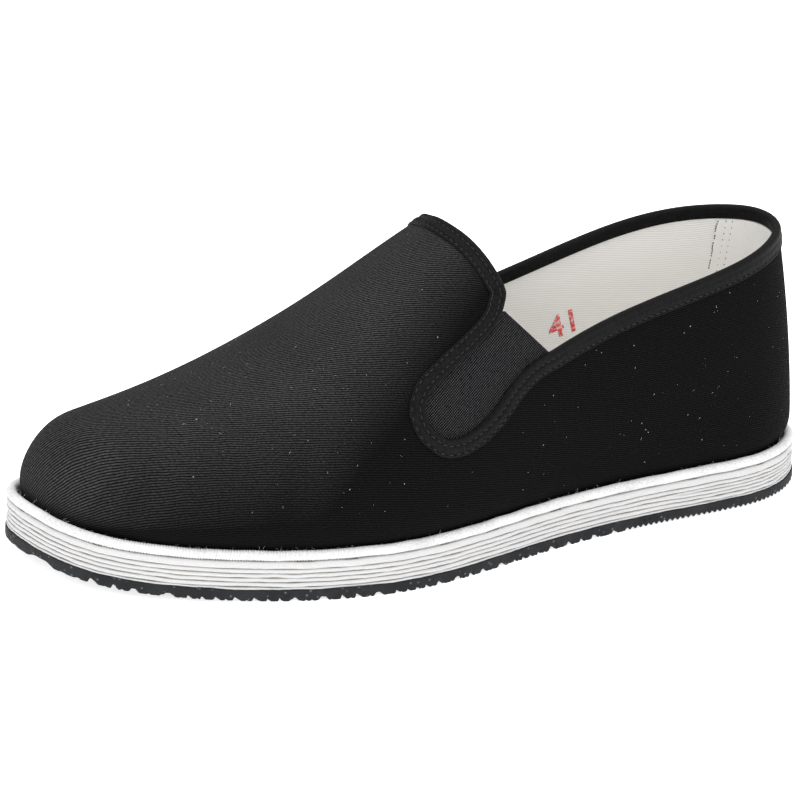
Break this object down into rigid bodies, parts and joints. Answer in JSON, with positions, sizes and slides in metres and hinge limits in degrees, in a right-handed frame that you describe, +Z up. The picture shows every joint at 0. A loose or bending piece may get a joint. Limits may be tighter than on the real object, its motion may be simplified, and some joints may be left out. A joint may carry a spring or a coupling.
{
  "type": "chinese cloth shoe",
  "caption": "Slip-on cloth shoe for the left foot: twill upper with elastic gores and bound edges on a layered white cloth sole with corded rim and rubber outsole.",
  "frame": {"origin": "centre of the shoe's bounding box, on the plane that the tread stands on", "axes": "toe along -X and heel along +X, outer side of the left foot at -Y, inner side at +Y, +Z up"},
  "size_m": [0.2769, 0.1049, 0.1072],
  "materials": {
    "rubber": "matt moulded rubber",
    "white_cloth": "matt white cotton cloth, cut edge",
    "black_cloth": "matt black cotton twill",
    "black_tape": "black woven tape with a slight sheen",
    "black_elastic": "matt ribbed elastic",
    "lining_cloth": "matt unbleached cotton drill"
  },
  "bodies": {
    "root": {"outsole": "rubber", "welt_cord": "white_cloth", "insole": "lining_cloth", "heel_stay": "lining_cloth", "upper": "black_cloth", "edge_binding": "black_tape", "gore_lateral": "black_elastic", "gore_medial": "black_elastic", "sole_layer_1": "white_cloth", "sole_layer_2": "white_cloth", "sole_layer_3": "white_cloth", "sole_layer_4": "white_cloth", "sole_layer_5": "white_cloth"}
  },
  "joints": []
}
